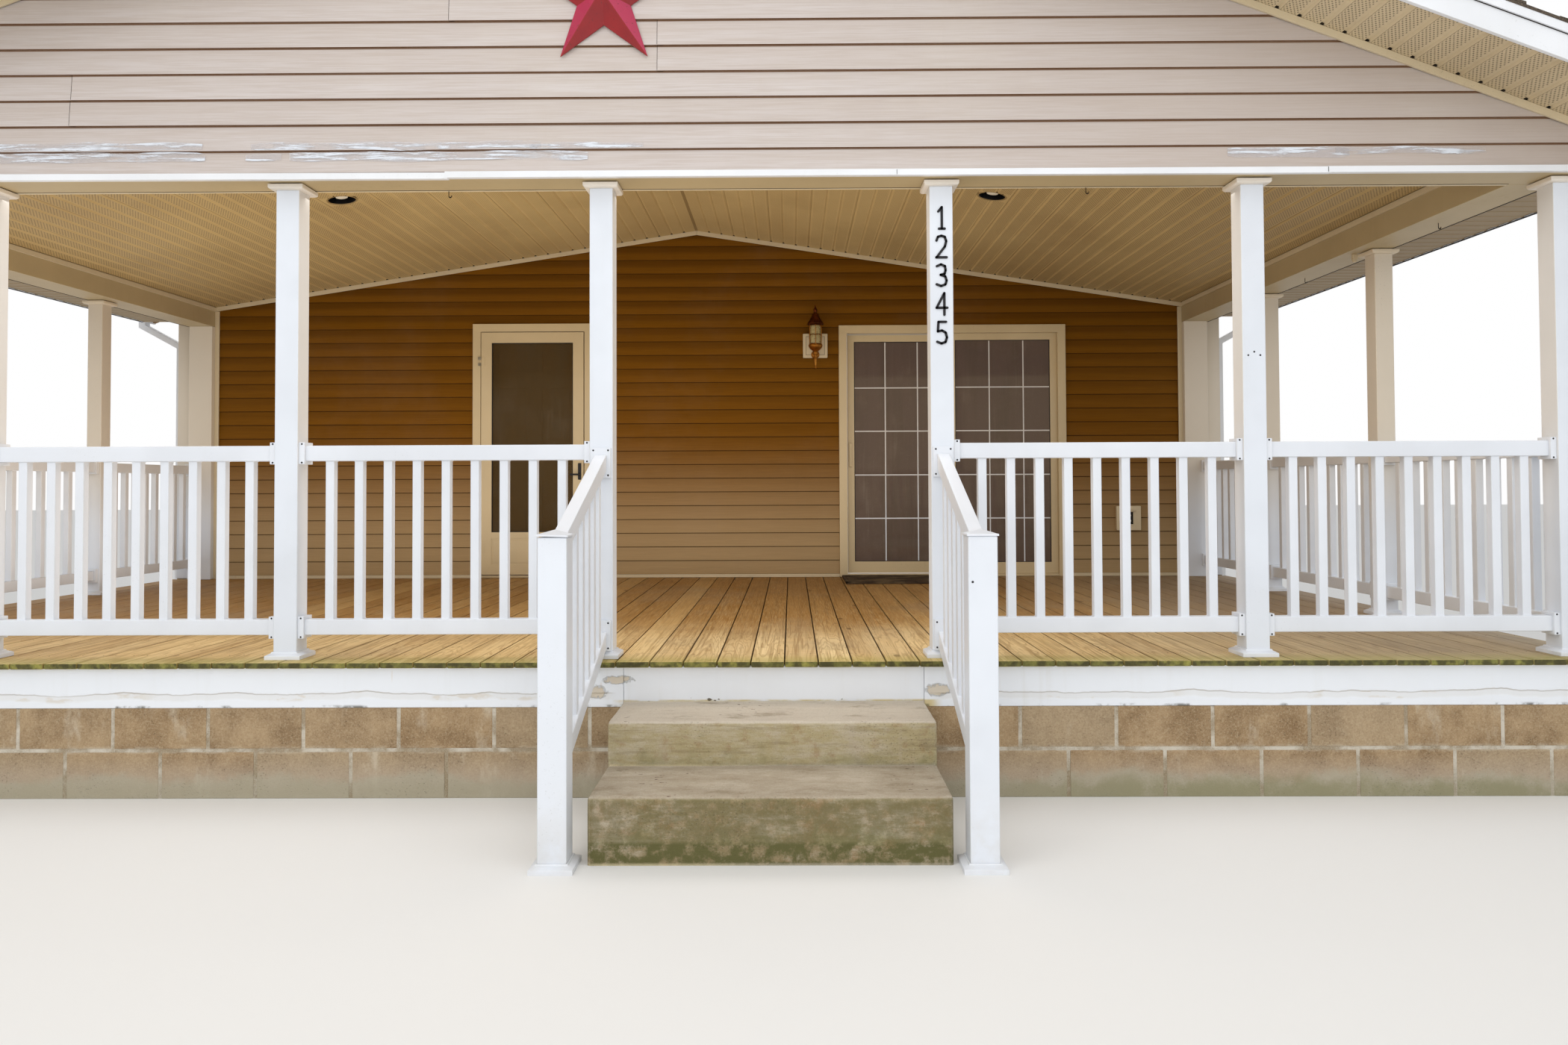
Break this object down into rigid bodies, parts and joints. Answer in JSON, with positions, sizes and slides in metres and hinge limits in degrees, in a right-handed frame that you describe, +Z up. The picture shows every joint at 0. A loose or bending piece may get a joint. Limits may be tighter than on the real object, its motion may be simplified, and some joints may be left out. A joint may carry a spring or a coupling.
{
  "type": "front porch",
  "caption": "Covered front porch with a gable roof, square posts, baluster railings, concrete steps and a strip of sided house wall with its doors.",
  "frame": {"origin": "middle of the overall box on the ground", "axes": "+X to the right seen from the street, +Y into the house, +Z up"},
  "size_m": [9.3746, 5.1256, 4.6073],
  "materials": {
    "block": "rough masonry block",
    "concrete": "cast concrete, worn",
    "cream_vinyl": "satin vinyl",
    "dark_metal": "satin paint",
    "deck_wood": "weathered boards",
    "door_steel": "satin paint",
    "framing": "bare sawn wood",
    "gable_vinyl": "embossed siding",
    "hinge_steel": "dull plating",
    "lamp_brass": "aged",
    "mat_fibre": "coarse fibre",
    "pane": "clear",
    "roofing": "granular shingles",
    "star_red": "satin paint",
    "wall_vinyl": "embossed siding",
    "white_board": "painted, peeling",
    "white_metal": "satin paint",
    "white_vinyl": "satin vinyl"
  },
  "bodies": {
    "porch": {"foundation": "block", "steps": "concrete", "rim_boards": "white_board", "joists": "framing", "deck_floor": "deck_wood", "posts": "white_vinyl", "post_bases": "white_vinyl", "post_caps": "cream_vinyl", "railing_front": "white_vinyl", "railing_sides": "white_vinyl", "stair_rails": "white_vinyl", "newels": "white_vinyl", "newel_caps": "white_vinyl", "rail_brackets": "white_vinyl", "beams": "cream_vinyl", "ceiling": "cream_vinyl", "ceiling_lights": "cream_vinyl", "wall_trim": "cream_vinyl", "gable_wall": "framing", "gable_siding": "gable_vinyl", "drip_edges": "white_metal", "barn_star": "star_red", "rafters": "framing", "roof_panels": "roofing", "ridge_cap": "roofing", "fascia": "white_metal", "soffits": "cream_vinyl", "gutters": "white_metal", "downspouts": "white_metal", "house_wall": "framing", "house_siding": "wall_vinyl", "entry_frame": "cream_vinyl", "slider_frame": "cream_vinyl", "slider_fixed": "cream_vinyl", "slider_fixed_glass": "pane", "wall_blocks": "cream_vinyl", "lantern": "lamp_brass", "lantern_glass": "pane", "house_numbers": "dark_metal", "door_mat": "mat_fibre", "door_hinges": "hinge_steel"},
    "storm_leaf": {"storm_door": "door_steel", "storm_glass": "pane", "storm_handle": "dark_metal"},
    "entry_leaf": {"entry_door": "door_steel", "entry_knob": "lamp_brass"},
    "sliding_leaf": {"slider_panel": "cream_vinyl", "slider_glass": "pane", "slider_handle": "lamp_brass"}
  },
  "joints": [
    {"name": "storm_door_hinge", "type": "hinge", "parent": "porch", "child": "storm_leaf", "pos_m": [-1.768, 2.38185, 1.5], "axis": [0, 0, -1], "range_deg": [0, 95]},
    {"name": "entry_door_hinge", "type": "hinge", "parent": "porch", "child": "entry_leaf", "pos_m": [-1.768, 2.55785, 1.5], "axis": [0, 0, 1], "range_deg": [0, 90]},
    {"name": "sliding_door_track", "type": "slide", "parent": "porch", "child": "sliding_leaf", "axis": [1, 0, 0], "range_m": [0, 0.78]}
  ]
}
